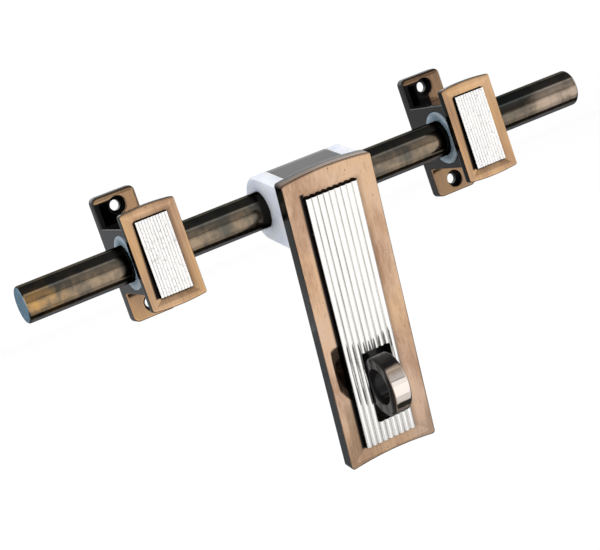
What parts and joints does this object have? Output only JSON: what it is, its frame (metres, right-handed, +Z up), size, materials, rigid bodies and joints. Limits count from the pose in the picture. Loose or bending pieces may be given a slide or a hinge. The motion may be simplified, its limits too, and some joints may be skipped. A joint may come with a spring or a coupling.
{
  "type": "aldrop bolt",
  "caption": "Surface-mounted door sliding bolt: a round rod in two screwed brackets, with a turning slotted hasp that closes over a padlock staple.",
  "frame": {"origin": "centre of the rectangle of the four bracket screws, on the door face", "axes": "+X along the rod, towards the bolt's right end; +Y into the door, so the user stands at -Y; +Z up the door"},
  "size_m": [0.302, 0.0639, 0.1658],
  "materials": {
    "antique_copper": "brushed antique copper under gloss lacquer, dark brown in the sides and recesses",
    "bronzed_rod": "dark bronze, brushed round, glossy",
    "bright_silver": "bright plated flutes",
    "frosted_silver": "satin plated flutes",
    "white_nylon": "translucent white nylon, moulded",
    "plain_steel": "plain zinc plated"
  },
  "bodies": {
    "door_fittings": {"left_bracket_body": "antique_copper", "right_bracket_body": "antique_copper", "left_bracket_insert": "frosted_silver", "right_bracket_insert": "frosted_silver", "left_bush_outer": "white_nylon", "left_bush_inner": "white_nylon", "right_bush_outer": "white_nylon", "right_bush_inner": "white_nylon", "staple_eye": "antique_copper", "staple_plate": "antique_copper"},
    "bolt": {"bolt_rod": "bronzed_rod"},
    "hasp": {"hasp_body": "antique_copper", "hasp_insert": "bright_silver", "insert_retainers": "plain_steel", "left_hasp_spacer": "white_nylon", "right_hasp_spacer": "white_nylon", "grub_screw": "plain_steel"}
  },
  "joints": [
    {"name": "bolt_slide", "type": "slide", "parent": "door_fittings", "child": "bolt", "axis": [1, 0, 0], "range_m": [-0.0468, 0]},
    {"name": "hasp_turn", "type": "hinge", "parent": "bolt", "child": "hasp", "pos_m": [-0.003, -0.0303, 0], "axis": [-1, 0, 0], "range_deg": [0, 130]}
  ],
  "couplings": [
    {"joint": "bolt_slide", "follows": "hasp_turn", "m_per_rad": -0.015867}
  ]
}
